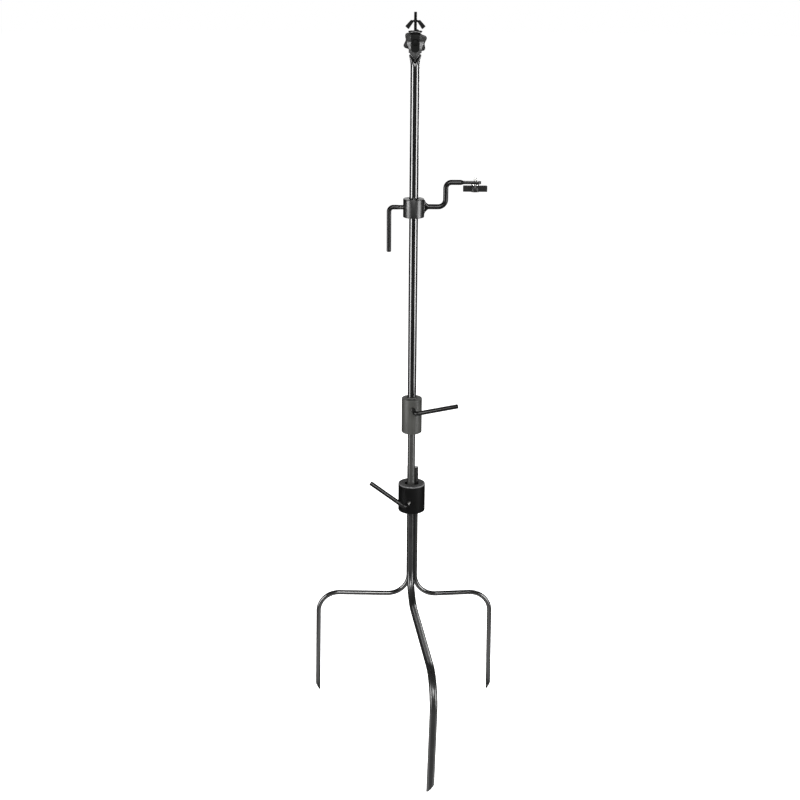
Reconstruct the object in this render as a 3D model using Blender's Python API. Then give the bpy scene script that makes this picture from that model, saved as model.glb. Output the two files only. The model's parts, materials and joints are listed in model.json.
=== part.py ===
"""Ground-spike field stand: a telescoping mast on three bent legs, with a side arm and a tilt head.

Metres, +Z up. The three spike tips stand on z = 0 and the origin is the middle of the footprint.
Shapes are first laid out about the mast's axis, then the whole stand is set down on its origin.
"""
from math import cos, pi, radians, sin, tan

import bmesh
import bpy
from mathutils import Matrix, Vector

# ---------------------------------------------------------------- driving dimensions
GAP = 0.0003                      # clearance between pieces that touch

MAST_RADIUS = 0.009525            # 3/4 inch tube
MAST_WALL = 0.0006
LOWER_RADIUS = 0.00868            # lower tube, a sliding fit in the mast
LOWER_WALL = 0.0012
ROD_RADIUS = 0.0055               # side legs and side arm
HANDLE_RADIUS = 0.005             # L-shaped clamp handles
STUD_RADIUS = 0.003175            # 1/4 inch camera studs
STUD_HOLE = STUD_RADIUS + GAP

# Heights above the ground
BAR_HEIGHT = 0.263                # centre line of the three leg bars
LEG_COLLAR = (0.482, 0.549)       # bottom and top of each collar
MAST_COLLAR = (0.675, 0.7555)
ARM_COLLAR = (1.1635, 1.2035)
ROD_TOP = 0.586                   # side legs stand out above their collar
LOWER_TOP = 1.28                  # the lower tube ends inside the mast
CRIMP = (1.479, 1.508)            # the mast's round tube turns into a flat paddle
PIVOT = 1.5261                    # tilt axis
HEAD_TOP = 1.5868                 # end of the camera stud

# Legs, as offsets from the mast's axis
LEFT_ROD = Vector((-0.0035, 0.0142, 0))
RIGHT_ROD = Vector((0.0110, 0.0094, 0))
LEFT_CORNER = Vector((-0.216, 0.018, 0))
LEFT_TIP = Vector((-0.221, 0.018, 0))
RIGHT_CORNER = Vector((0.189, 0.028, 0))
RIGHT_TIP = Vector((0.192, 0.028, 0))
FRONT_CORNER = Vector((0.050, -0.397, 0))
FRONT_TIP = Vector((0.044, -0.397, 0))
SIDE_BEND = 0.050                 # centre-line radius of the side legs' bends
FRONT_BEND = 0.075                # centre-line radius of the front leg's bends
FRONT_SPIKE = 1.15                # slope of the oblique cut at each spike
SIDE_SPIKE = 1.8

# Collars
COLLAR_RADIUS = 0.02275           # arm and mast collars
LEG_COLLAR_RADIUS = 0.03065
LEG_COLLAR_BORE = 0.0165
LEG_COLLAR_CENTRE = Vector((0.0015, 0.0050, 0))
LINER_RADIUS = 0.0110             # bush between the mast and the arm collar

# Clamp handles: where each screw points, its height and how its lever stands
HANDLE_REACH = 0.0528             # from the mast's axis to the lever's centre line
LEVER_LENGTH = 0.097
HANDLE_BEND = 0.0095
LEG_SCREW = (radians(-104), 0.5104)
MAST_SCREW = (radians(-82), 0.7345)
ARM_SCREW = (radians(180), 1.1846)

# Side arm
ARM_LOW = 1.1860
ARM_HIGH = 1.2384
ARM_RISER_X = 0.0681
ARM_END_X = 0.1430
ARM_SCREW_X = 0.1305
SPADE_HALF = (0.0078, 0.0030)     # half width and half thickness of the flattened end

# Tilt head, across the pivot
PADDLE_HALF = (0.0135, 0.0013)
STRAP_WIDTH = 0.018
STRAP_THICK = 0.003
STRAP_RISE = 0.0175               # pivot to the strap's top face
STRAP_DROP = 0.0200               # pivot to the rounded ends of its legs
BOLT_RADIUS = 0.003
BOLT_HOLE = BOLT_RADIUS + GAP
STRAP_INNER = PADDLE_HALF[1] + GAP
STRAP_OUTER = STRAP_INNER + STRAP_THICK
WASHER_RADIUS = 0.0172            # clears the camera flange above it
WASHER_BACK = STRAP_OUTER + GAP + 0.0015
FLANGE_RADIUS = 0.0146
KNOB_FRONT = WASHER_BACK + GAP    # the knob's neck starts at the washer
LOBES_FRONT = FLANGE_RADIUS + 0.0006
LOBES_DEPTH = 0.0135

# Widest points of the stand about the mast's axis, which centre it on the origin
LEFT_EDGE = LEFT_TIP.x - ROD_RADIUS
RIGHT_EDGE = RIGHT_TIP.x + ROD_RADIUS
FRONT_EDGE = FRONT_TIP.y - LOWER_RADIUS
BACK_EDGE = LEG_COLLAR_CENTRE.y + LEG_COLLAR_RADIUS
MAST_AXIS = Vector((-(LEFT_EDGE + RIGHT_EDGE) / 2, -(FRONT_EDGE + BACK_EDGE) / 2, 0))


# ---------------------------------------------------------------- looks
def look(name, colour, roughness, metallic):
    material = bpy.data.materials.new(name)
    material.use_nodes = True
    shader = material.node_tree.nodes["Principled BSDF"]
    shader.inputs["Base Color"].default_value = (*colour, 1)
    shader.inputs["Roughness"].default_value = roughness
    shader.inputs["Metallic"].default_value = metallic
    return material


# ---------------------------------------------------------------- mesh helpers
def bent_path(corners, bends, steps=6):
    """Centre line through the corners, with an arc of the given radius at each inner one."""
    corners = [Vector(corner) for corner in corners]
    path = [corners[0]]
    for before, corner, after, bend in zip(corners, corners[1:], corners[2:], bends):
        back = (before - corner).normalized()
        ahead = (after - corner).normalized()
        half = back.angle(ahead) / 2
        centre = corner + (back + ahead).normalized() * (bend / sin(half))
        start = corner + back * (bend / tan(half)) - centre
        axis = back.cross(ahead).normalized()
        for step in range(steps + 1):
            path.append(centre + Matrix.Rotation((2 * half - pi) * step / steps, 3, axis) @ start)
    path.append(corners[-1])
    return path


def frames(path, side):
    """Point, tangent and two cross directions along a path, carried round without twist."""
    result = []
    for index, point in enumerate(path):
        tangent = (path[min(index + 1, len(path) - 1)] - path[max(index - 1, 0)]).normalized()
        side = (side - tangent * side.dot(tangent)).normalized()
        result.append((point, tangent, side, tangent.cross(side)))
    return result


def ring(frame, radius, segments):
    point, _tangent, side, other = frame
    turns = (2 * pi * index / segments for index in range(segments))
    return [point + (side * cos(turn) + other * sin(turn)) * radius for turn in turns]


def pressed_ring(frame, radius, half_width, half_thick, press, segments):
    """A round section pressed flat: press 0 is the round rod or tube, press 1 the flat bar."""
    point, _tangent, side, other = frame
    result = []
    for index in range(segments):
        turn = 2 * pi * index / segments
        wide = half_width * max(-1, min(1, 1.12 * cos(turn)))
        thick = half_thick * max(-1, min(1, 1.7 * sin(turn)))
        across = (1 - press) * radius * cos(turn) + press * wide
        through = (1 - press) * radius * sin(turn) + press * thick
        result.append(point + side * across + other * through)
    return result


def oblique(points, centre, tangent, towards, slope):
    """Slants an end ring so that its point lies on the side that towards shows."""
    return [point + tangent * slope * (point - centre).dot(towards) for point in points]


def skin(name, rings, material, closed=False, origin=(0, 0, 0)):
    """One closed body over a row of rings, with flat caps, or joined end to end when closed."""
    mesh = bmesh.new()
    loops = [[mesh.verts.new(Vector(point) - Vector(origin)) for point in points] for points in rings]
    following = loops[1:] + loops[:1] if closed else loops[1:]
    for near, far in zip(loops, following):
        for index in range(len(near)):
            after = (index + 1) % len(near)
            mesh.faces.new((near[index], near[after], far[after], far[index]))
    if not closed:
        mesh.faces.new(loops[0])
        mesh.faces.new(loops[-1])
    return finish(name, mesh, material, origin)


def finish(name, mesh, material, origin=(0, 0, 0)):
    bmesh.ops.recalc_face_normals(mesh, faces=mesh.faces)
    data = bpy.data.meshes.new(name)
    mesh.to_mesh(data)
    mesh.free()
    data.shade_smooth()
    data.set_sharp_from_angle(angle=radians(32))
    data.materials.append(material)
    piece = bpy.data.objects.new(name, data)
    piece.location = Vector(origin) + MAST_AXIS
    bpy.context.scene.collection.objects.link(piece)
    return piece


def turned(name, profile, material, origin=(0, 0, 0), axis=(0, 0, 1), segments=32, closed=False):
    """A turned piece: (radius, distance along the axis) pairs from the origin."""
    axis = Vector(axis).normalized()
    start = Vector(origin)
    side = axis.orthogonal().normalized()
    other = axis.cross(side)
    rings = []
    for radius, along in profile:
        turns = [2 * pi * index / segments for index in range(segments)]
        rings.append([start + axis * along + (side * cos(turn) + other * sin(turn)) * radius
                      for turn in turns])
    return skin(name, rings, material, closed, origin)


def slab(name, outline, front, back, material, origin=(0, 0, 0)):
    """An outline of (x, z) points about the origin, drawn through from y = front to y = back."""
    rings = [[Vector(origin) + Vector((x, y, z)) for x, z in outline] for y in (front, back)]
    return skin(name, rings, material, False, origin)


def box(name, low, high):
    outline = [(low[0], low[2]), (high[0], low[2]), (high[0], high[2]), (low[0], high[2])]
    return slab(name, outline, low[1], high[1], None)


def combine(piece, tool, operation="DIFFERENCE"):
    """Cuts the tool from a piece, or joins it to the piece, and hides the tool."""
    modifier = piece.modifiers.new(tool.name, "BOOLEAN")
    modifier.operation = operation
    modifier.solver = "EXACT"
    modifier.object = tool
    tool.hide_render = True
    tool.display_type = "WIRE"


def heading(angle):
    return Vector((cos(angle), sin(angle), 0))


# ---------------------------------------------------------------- base
def make_lower_tube(material):
    """The lower tube of the mast, which bends forward at its foot to be the front leg."""
    end = LOWER_RADIUS * FRONT_SPIKE
    corners = [(0, 0, LOWER_TOP), (0, 0, BAR_HEIGHT), (*FRONT_CORNER.xy, BAR_HEIGHT), (*FRONT_TIP.xy, end)]
    path = frames(bent_path(corners, (FRONT_BEND, FRONT_BEND)), Vector((1, 0, 0)))
    segments = 24
    outer = [ring(frame, LOWER_RADIUS, segments) for frame in path]
    inner = [ring(frame, LOWER_RADIUS - LOWER_WALL, segments) for frame in path]
    centre, tangent = path[-1][:2]
    point_side = Vector((-1, 0, 0))
    outer[-1] = oblique(outer[-1], centre, tangent, point_side, FRONT_SPIKE)
    inner[-1] = oblique(inner[-1], centre, tangent, point_side, FRONT_SPIKE)
    return skin("lower_tube", outer + inner[::-1], material, True)


def make_plug(material):
    """Nylon end plug, pushed into the lower tube's top, whose rim rubs in the mast's bore."""
    stem = LOWER_RADIUS - LOWER_WALL - GAP
    profile = [(stem, -0.020), (stem, GAP), (LOWER_RADIUS, GAP), (LOWER_RADIUS, 0.004), (stem, 0.0055)]
    return turned("lower_tube_plug", profile, material, (0, 0, LOWER_TOP), segments=24)


def make_side_leg(name, rod, corner, tip, point_side, material):
    """Solid rod: down behind the tube, out along the bar, and down to its spike."""
    end = ROD_RADIUS * SIDE_SPIKE
    corners = [(*rod.xy, ROD_TOP), (*rod.xy, BAR_HEIGHT), (*corner.xy, BAR_HEIGHT), (*tip.xy, end)]
    path = frames(bent_path(corners, (SIDE_BEND, SIDE_BEND)), Vector((0, 1, 0)))
    rings = [ring(frame, ROD_RADIUS, 16) for frame in path]
    centre, tangent = path[-1][:2]
    rings[-1] = oblique(rings[-1], centre, tangent, point_side, SIDE_SPIKE)
    return skin(name, rings, material, origin=rod)


def make_collar(name, height, radius, bore, bevel, material, centre=Vector((0, 0, 0)), segments=40):
    low, high = height
    profile = [(bore, low), (radius - bevel, low), (radius, low + bevel), (radius, high - bevel),
               (radius - bevel, high), (bore, high)]
    return turned(name, profile, material, centre, segments=segments, closed=True)


def drill_screw_hole(collar, name, screw, reach):
    """Radial hole for a clamp screw, from inside the bore to clear of the collar."""
    angle, height = screw
    hole = turned(name, [(HANDLE_RADIUS + GAP, 0.003), (HANDLE_RADIUS + GAP, reach)], None,
                  (0, 0, height), heading(angle), 20)
    combine(collar, hole)


def make_handle(name, screw, clamped, lever, material):
    """L-shaped clamp handle: the screw runs out from the tube it clamps and turns into a lever."""
    angle, height = screw
    out = heading(angle)
    axis = Vector((0, 0, height))
    tube_end = axis + out * (clamped + GAP)
    elbow = axis + out * HANDLE_REACH
    path = frames(bent_path([tube_end, elbow, elbow + lever * LEVER_LENGTH], (HANDLE_BEND,), 5),
                  Vector((0, 0, 1)) if abs(lever.z) < 0.9 else Vector((0, 1, 0)))
    rings = [ring(frame, HANDLE_RADIUS, 14) for frame in path]
    tip, tangent = path[-1][:2]
    rings[-1] = [point - tangent * 0.0012 for point in rings[-1]]
    rings.append([tip + (point - tip) * 0.72 + tangent * 0.0004 for point in rings[-1]])
    return skin(name, rings, material, origin=axis)


# ---------------------------------------------------------------- mast
def make_mast(material):
    """Thin tube, open at the bottom, with its top pressed into a flat rounded paddle."""
    segments = 32
    bottom = MAST_COLLAR[1] - 0.010
    bore = MAST_RADIUS - MAST_WALL
    half_width, half_thick = PADDLE_HALF
    across = Vector((1, 0, 0))

    def at(height):
        return (Vector((0, 0, height)), Vector((0, 0, 1)), across, Vector((0, 1, 0)))

    inner_top = CRIMP[0] - 0.004
    rings = [ring(at(inner_top), bore, segments), ring(at(bottom), bore, segments),
             ring(at(bottom), MAST_RADIUS, segments), ring(at(CRIMP[0]), MAST_RADIUS, segments)]
    for step in range(1, 6):
        share = step / 5
        press = share * share * (3 - 2 * share)
        height = CRIMP[0] + (CRIMP[1] - CRIMP[0]) * share
        rings.append(pressed_ring(at(height), MAST_RADIUS, half_width, half_thick, press, segments))
    for step in range(7):
        turn = radians(84) * step / 6
        rings.append(pressed_ring(at(PIVOT + half_width * sin(turn)), 0, half_width * cos(turn),
                                  half_thick, 1, segments))
    mast = skin("mast_tube", rings, material, origin=(0, 0, PIVOT))
    combine(mast, turned("paddle_hole", [(BOLT_HOLE, -0.01), (BOLT_HOLE, 0.01)], None, (0, 0, PIVOT),
                         (0, 1, 0), 20))
    return mast


def make_mast_collar(material):
    """Thick collar on the mast's foot, counterbored for the tube that is welded into it."""
    low, high = MAST_COLLAR
    bore = LOWER_RADIUS + GAP
    seat = MAST_RADIUS + GAP
    bevel = 0.0012
    profile = [(bore, low), (COLLAR_RADIUS - bevel, low), (COLLAR_RADIUS, low + bevel),
               (COLLAR_RADIUS, high - bevel), (COLLAR_RADIUS - bevel, high), (seat, high),
               (seat, high - 0.010 - GAP), (bore, high - 0.010 - GAP)]
    collar = turned("mast_collar", profile, material, segments=40, closed=True)
    drill_screw_hole(collar, "mast_screw_hole", MAST_SCREW, 0.030)
    return collar


# ---------------------------------------------------------------- side arm
def make_arm_rod(material):
    """Z-shaped rod: fanned out flat where it is welded to its collar, and flat again at its end."""
    start = Vector((COLLAR_RADIUS + GAP, 0, ARM_LOW))
    corners = [start, (ARM_RISER_X, 0, ARM_LOW), (ARM_RISER_X, 0, ARM_HIGH), (0.100, 0, ARM_HIGH)]
    path = frames(bent_path(corners, (0.016, 0.012)), Vector((0, 1, 0)))
    segments = 20
    upright = (start, Vector((1, 0, 0)), Vector((0, 0, 1)), Vector((0, -1, 0)))
    rings = []
    for along, press in ((0, 1), (0.002, 0.85), (0.005, 0.35), (0.009, 0)):
        point = start + Vector((along, 0, 0))
        rings.append(pressed_ring((point, *upright[1:]), ROD_RADIUS, 0.013, 0.0036, press, segments))
    # the rod's own rings start a quarter turn on, to line up with the upright fan
    quarter = segments // 4
    for frame in path[1:]:
        rings.append(turn_ring(ring(frame, ROD_RADIUS, segments), rings[-1]))
    last = path[-1]
    for along, press in ((0.003, 0.35), (0.006, 0.85), (0.009, 1)):
        frame = (last[0] + last[1] * along, *last[1:])
        flat = pressed_ring(frame, ROD_RADIUS, *SPADE_HALF, press, segments)
        rings.append(turn_ring(flat, rings[-1]))
    for step in range(6):
        turn = radians(80) * step / 5
        end = ARM_END_X - SPADE_HALF[0] + SPADE_HALF[0] * sin(turn)
        frame = (Vector((end, 0, ARM_HIGH)), *last[1:])
        flat = pressed_ring(frame, 0, SPADE_HALF[0] * cos(turn), SPADE_HALF[1], 1, segments)
        rings.append(turn_ring(flat, rings[-1]))
    rod = skin("arm_rod", rings, material, origin=(0, 0, ARM_LOW))
    combine(rod, turned("spade_hole", [(STUD_HOLE, -0.02), (STUD_HOLE, 0.02)], None,
                        (ARM_SCREW_X, 0, ARM_HIGH), segments=20))
    return rod


def turn_ring(points, before):
    """Renumbers a ring from the point nearest the ring before it, so that the skin isn't twisted."""
    centre = sum(points, Vector()) / len(points)
    centre_before = sum(before, Vector()) / len(before)
    first = (before[0] - centre_before).normalized()
    start = max(range(len(points)), key=lambda index: (points[index] - centre).normalized().dot(first))
    return points[start:] + points[:start]


def make_arm_screw(metal, black):
    """Camera screw of the side arm, its wing knob below the spade and the washer between them."""
    spade_low = ARM_HIGH - SPADE_HALF[1]
    washer_top = spade_low - GAP
    washer_low = washer_top - 0.0016
    knob_top = washer_low - GAP
    knob_height = 0.0145
    here = (ARM_SCREW_X, 0, 0)
    turned("arm_camera_screw", [(STUD_RADIUS, knob_top - 0.0115), (STUD_RADIUS, ARM_HIGH + 0.0092),
                                (STUD_RADIUS - 0.0006, ARM_HIGH + 0.0098)], metal, here, segments=20)
    turned("arm_screw_washer", [(STUD_HOLE, washer_low), (0.0085, washer_low), (0.0085, washer_top),
                                (STUD_HOLE, washer_top)], metal, here, segments=28, closed=True)
    low = knob_top - knob_height
    floor = knob_top - 0.0118
    profile = [(0.0092, low), (0.0096, low + 0.001), (0.0082, knob_top - 0.0008), (0.0076, knob_top),
               (STUD_HOLE, knob_top), (STUD_HOLE, floor)]
    knob = turned("arm_wing_knob", profile, black, here, segments=28)
    half_span, half_thick, corner = 0.0258, 0.0022, 0.002
    wing_top, wing_low = knob_top - 0.0012, low + 0.0002
    for side in (-1, 1):
        outline = rounded_outline(side * 0.0045, side * half_span, wing_low, wing_top, corner)
        outline = [(ARM_SCREW_X + x, z) for x, z in outline]
        wing = slab("wing_left" if side < 0 else "wing_right", outline, -half_thick, half_thick, black)
        combine(knob, wing, "UNION")


def rounded_outline(near, far, low, high, corner):
    """Rectangle from near to far whose two far corners are round."""
    side = 1 if far > near else -1
    points = [(near, low)]
    for step in range(5):
        turn = pi / 2 * step / 4
        points.append((far - side * corner * (1 - sin(turn)), low + corner * (1 - cos(turn))))
    for step in range(5):
        turn = pi / 2 * step / 4
        points.append((far - side * corner * (1 - cos(turn)), high - corner * (1 - sin(turn))))
    points.append((near, high))
    return points


# ---------------------------------------------------------------- tilt head
def make_bracket(material):
    """Flat bar bent into an upside-down U over the mast's paddle."""
    half = STRAP_WIDTH / 2
    outline = [(-half, STRAP_RISE), (half, STRAP_RISE)]
    for step in range(13):
        turn = pi * step / 12
        outline.append((half * cos(turn), -(STRAP_DROP - half) - half * sin(turn)))
    bracket = slab("tilt_bracket", outline, -STRAP_OUTER, STRAP_OUTER, material, (0, 0, PIVOT))
    reach = 0.03
    slot = box("strap_slot", (-reach, -STRAP_INNER, PIVOT - reach),
               (reach, STRAP_INNER, PIVOT + STRAP_RISE - STRAP_THICK))
    combine(bracket, slot)
    combine(bracket, turned("strap_hole", [(BOLT_HOLE, -reach), (BOLT_HOLE, reach)], None,
                            (0, 0, PIVOT), (0, 1, 0), 20))
    combine(bracket, turned("bridge_hole", [(STUD_HOLE, 0.008), (STUD_HOLE, reach)], None,
                            (0, 0, PIVOT), segments=20))
    return bracket


def make_pivot_hardware(metal, black, brass):
    """Bolt, washer, lobed knob and its threaded insert, front to back along the tilt axis."""
    here = (0, 0, PIVOT)
    back = (0, 1, 0)
    front = -STRAP_OUTER - GAP
    knob_back = LOBES_FRONT + LOBES_DEPTH
    turned("tilt_bolt", [(0.0035, front - 0.0026), (0.0062, front - 0.0016), (0.0068, front),
                         (BOLT_RADIUS, front), (BOLT_RADIUS, knob_back + 0.0015)],
           black, here, back, 24)
    washer_front = STRAP_OUTER + GAP
    turned("tilt_washer", [(BOLT_HOLE, washer_front), (WASHER_RADIUS, washer_front),
                           (WASHER_RADIUS, WASHER_BACK), (BOLT_HOLE, WASHER_BACK)], metal, here, back, 40, True)
    insert_front = KNOB_FRONT + 0.010
    turned("tilt_knob_insert", [(BOLT_HOLE, insert_front + GAP), (0.006, insert_front + GAP),
                                (0.006, knob_back - 0.0005), (BOLT_HOLE, knob_back - 0.0005)],
           brass, here, back, 24, True)

    def lobed(radius, y):
        points = []
        for index in range(64):
            turn = 2 * pi * index / 64
            reach = radius + 0.0030 * cos(6 * (turn - radians(21))) * (radius / 0.0225) ** 3
            points.append(Vector((reach * cos(turn), y, PIVOT + reach * sin(turn))))
        return points

    def plain(radius, y):
        return [Vector((radius * cos(2 * pi * index / 64), y, PIVOT + radius * sin(2 * pi * index / 64)))
                for index in range(64)]

    seat = 0.006 + GAP
    rings = [plain(BOLT_HOLE, KNOB_FRONT), plain(0.0085, KNOB_FRONT), plain(0.0090, LOBES_FRONT),
             lobed(0.0212, LOBES_FRONT), lobed(0.0225, LOBES_FRONT + 0.0018),
             lobed(0.0225, knob_back - 0.0030), lobed(0.0208, knob_back - 0.0008),
             plain(0.0150, knob_back - 0.0002), plain(0.0100, knob_back), plain(seat, knob_back),
             plain(seat, insert_front), plain(BOLT_HOLE, insert_front)]
    skin("tilt_knob", rings, black, True, here)


def make_head_top(black, metal):
    """Camera flange, the stud that passes through it, and the upside-down wing nut on the stud."""
    strap_top = PIVOT + STRAP_RISE
    low = strap_top + GAP
    rim = FLANGE_RADIUS
    turned("head_flange", [(STUD_HOLE, low), (0.0092, low), (0.0102, low + 0.0016), (rim - 0.0006, low + 0.0020),
                           (rim, low + 0.0026), (rim, low + 0.0048), (rim - 0.0006, low + 0.0054),
                           (rim - 0.0020, low + 0.0054), (rim - 0.0026, low + 0.0047),
                           (STUD_HOLE, low + 0.0047)], black, segments=40, closed=True)
    turned("camera_stud", [(STUD_RADIUS, strap_top - STRAP_THICK), (STUD_RADIUS, HEAD_TOP - 0.0007),
                           (STUD_RADIUS - 0.0007, HEAD_TOP)], black, (0, 0, 0), segments=20)
    hub_low, hub_high = HEAD_TOP - 0.0202, HEAD_TOP - 0.0162
    nut = turned("jam_wing_nut", [(STUD_HOLE, hub_low), (0.0064, hub_low), (0.0070, hub_low + 0.001),
                                  (0.0064, hub_high), (STUD_HOLE, hub_high)], black, segments=24, closed=True)
    droop, length, half_width, half_thick, corner = radians(50), 0.0192, 0.0046, 0.0016, 0.0012
    root = Vector((0.0052, 0, hub_high - 0.0008))
    for side in (-1, 1):
        outline = []
        for along, across in rounded_outline(0, length, -half_width, half_width, corner):
            x = root.x + along * cos(droop) + across * sin(droop)
            outline.append((side * x, root.z - along * sin(droop) + across * cos(droop)))
        outline[0] = (side * 0.0046, hub_low + 0.0006)
        outline[-1] = (side * 0.0046, hub_high - 0.0004)
        ear = slab("ear_left" if side < 0 else "ear_right", outline, -half_thick, half_thick, black)
        combine(nut, ear, "UNION")


# ---------------------------------------------------------------- the stand
def main():
    for thing in list(bpy.data.objects):
        bpy.data.objects.remove(thing, do_unlink=True)

    black = look("black_paint", (0.012, 0.012, 0.012), 0.25, 0.0)
    grey = look("gunmetal", (0.09, 0.09, 0.08), 0.35, 0.6)
    dark = look("dark_grey", (0.06, 0.06, 0.055), 0.35, 0.4)
    zinc = look("zinc", (0.6, 0.6, 0.58), 0.35, 1.0)
    brass = look("brass", (0.55, 0.40, 0.18), 0.35, 1.0)
    nylon = look("nylon", (0.02, 0.02, 0.02), 0.6, 0.0)

    make_lower_tube(dark)
    make_plug(nylon)
    make_side_leg("left_leg_rod", LEFT_ROD, LEFT_CORNER, LEFT_TIP, Vector((1, 0, 0)), black)
    make_side_leg("right_leg_rod", RIGHT_ROD, RIGHT_CORNER, RIGHT_TIP, Vector((-1, 0, 0)), black)
    leg_collar = make_collar("leg_collar", LEG_COLLAR, LEG_COLLAR_RADIUS, LEG_COLLAR_BORE, 0.0022, black,
                             LEG_COLLAR_CENTRE, 48)
    drill_screw_hole(leg_collar, "leg_screw_hole", LEG_SCREW, 0.040)
    lean = radians(32)
    left = Vector((sin(LEG_SCREW[0]), -cos(LEG_SCREW[0]), 0))
    make_handle("leg_clamp_handle", LEG_SCREW, LOWER_RADIUS, left * cos(lean) + Vector((0, 0, sin(lean))), black)

    make_mast(black)
    make_mast_collar(grey)
    lean = radians(8.5)
    right = Vector((-sin(MAST_SCREW[0]), cos(MAST_SCREW[0]), 0))
    make_handle("mast_clamp_handle", MAST_SCREW, LOWER_RADIUS,
                right * cos(lean) + Vector((0, 0, sin(lean))), black)

    arm_collar = make_collar("arm_collar", ARM_COLLAR, COLLAR_RADIUS, LINER_RADIUS + GAP, 0.0012, black)
    drill_screw_hole(arm_collar, "arm_screw_hole", ARM_SCREW, 0.030)
    make_collar("arm_liner", (ARM_COLLAR[0] + 0.001, ARM_COLLAR[1] - 0.001), LINER_RADIUS, MAST_RADIUS + GAP,
                0.0003, nylon, segments=32)
    make_handle("arm_clamp_handle", ARM_SCREW, LINER_RADIUS, Vector((0, 0, -1)), black)
    make_arm_rod(black)
    make_arm_screw(zinc, black)

    make_bracket(black)
    make_pivot_hardware(zinc, black, brass)
    make_head_top(black, zinc)


main()
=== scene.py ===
"""Looks of the ground-spike field stand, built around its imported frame. Metres, +Z up."""
import json
from math import cos, pi, radians, sin, sqrt, tan

import bmesh
import bpy
from mathutils import Matrix, Vector


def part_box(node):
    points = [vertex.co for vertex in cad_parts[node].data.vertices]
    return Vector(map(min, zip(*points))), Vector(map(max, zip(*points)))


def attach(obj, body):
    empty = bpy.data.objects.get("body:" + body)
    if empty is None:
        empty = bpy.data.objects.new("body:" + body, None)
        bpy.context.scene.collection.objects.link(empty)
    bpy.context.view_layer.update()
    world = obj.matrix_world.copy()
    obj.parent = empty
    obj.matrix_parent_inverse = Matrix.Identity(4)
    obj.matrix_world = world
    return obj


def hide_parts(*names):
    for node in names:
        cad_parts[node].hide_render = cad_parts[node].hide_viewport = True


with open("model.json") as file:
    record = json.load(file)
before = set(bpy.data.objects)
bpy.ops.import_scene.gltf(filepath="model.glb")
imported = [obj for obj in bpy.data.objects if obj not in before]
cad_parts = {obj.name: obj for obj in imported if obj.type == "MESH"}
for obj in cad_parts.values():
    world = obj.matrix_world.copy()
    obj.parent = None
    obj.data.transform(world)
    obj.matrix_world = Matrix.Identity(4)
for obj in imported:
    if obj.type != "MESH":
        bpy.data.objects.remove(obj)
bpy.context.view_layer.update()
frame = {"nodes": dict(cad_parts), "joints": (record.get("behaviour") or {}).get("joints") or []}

# ---------------------------------------------------------------- places, from the frame
JOINTS = {joint["name"]: joint for joint in frame["joints"]}
MAST = Vector(JOINTS["mast_turn"]["pos_m"]) * Vector((1, 1, 0))
PIVOT = MAST + Vector((0, 0, JOINTS["head_tilt"]["pos_m"][2]))
UP = Vector((0, 0, 1))


def low(node):
    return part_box(node)[0].z


def high(node):
    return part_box(node)[1].z


# ---------------------------------------------------------------- sizes, as in the CAD
MAST_RADIUS = 0.009525
MAST_WALL = 0.0006
LOWER_RADIUS = 0.00868
LOWER_WALL = 0.0012
ROD_RADIUS = 0.0055
HANDLE_RADIUS = 0.005
HANDLE_REACH = 0.0528
HANDLE_BEND = 0.0095
LEVER_LENGTH = 0.097
LEG_LEVER_LEAN = radians(32)
MAST_LEVER_LEAN = radians(8.5)
STUD_RADIUS = 0.003175
BAR_HEIGHT = 0.263
SIDE_BEND = 0.050
FRONT_BEND = 0.075
FRONT_SPIKE = 1.15
SIDE_SPIKE = 1.8
COLLAR_RADIUS = 0.02275
LEG_COLLAR_RADIUS = 0.03065
LEG_COLLAR_BORE = 0.0165
LEG_COLLAR_CENTRE = Vector((0.0015, 0.0050, 0))
LINER_RADIUS = 0.0110
PADDLE_HALF = (0.0135, 0.0013)
CRIMP = (1.479, 1.508)
ARM_LOW = 1.1860
ARM_HIGH = 1.2384
ARM_RISER_X = 0.0681
ARM_SCREW_X = 0.1305
ARM_END_X = 0.1430
SPADE_HALF = (0.0078, 0.0030)
FISH_TAIL_HALF = (0.0034, 0.0128)
PRESS_LENGTH = 0.0095             # how far the arm rod takes to go from flat to round
WING_REACH = 0.0258
BOLT_HOLE = 0.0033
KNOB_RADIUS = 0.0225
KNOB_LOBE = 0.0027
KNOB_LOBES = 6
THREAD_PITCH = 0.00127            # 1/4 inch camera thread, 20 turns to the inch
CLAMP_PITCH = 0.0016
GAP = 0.0003


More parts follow.
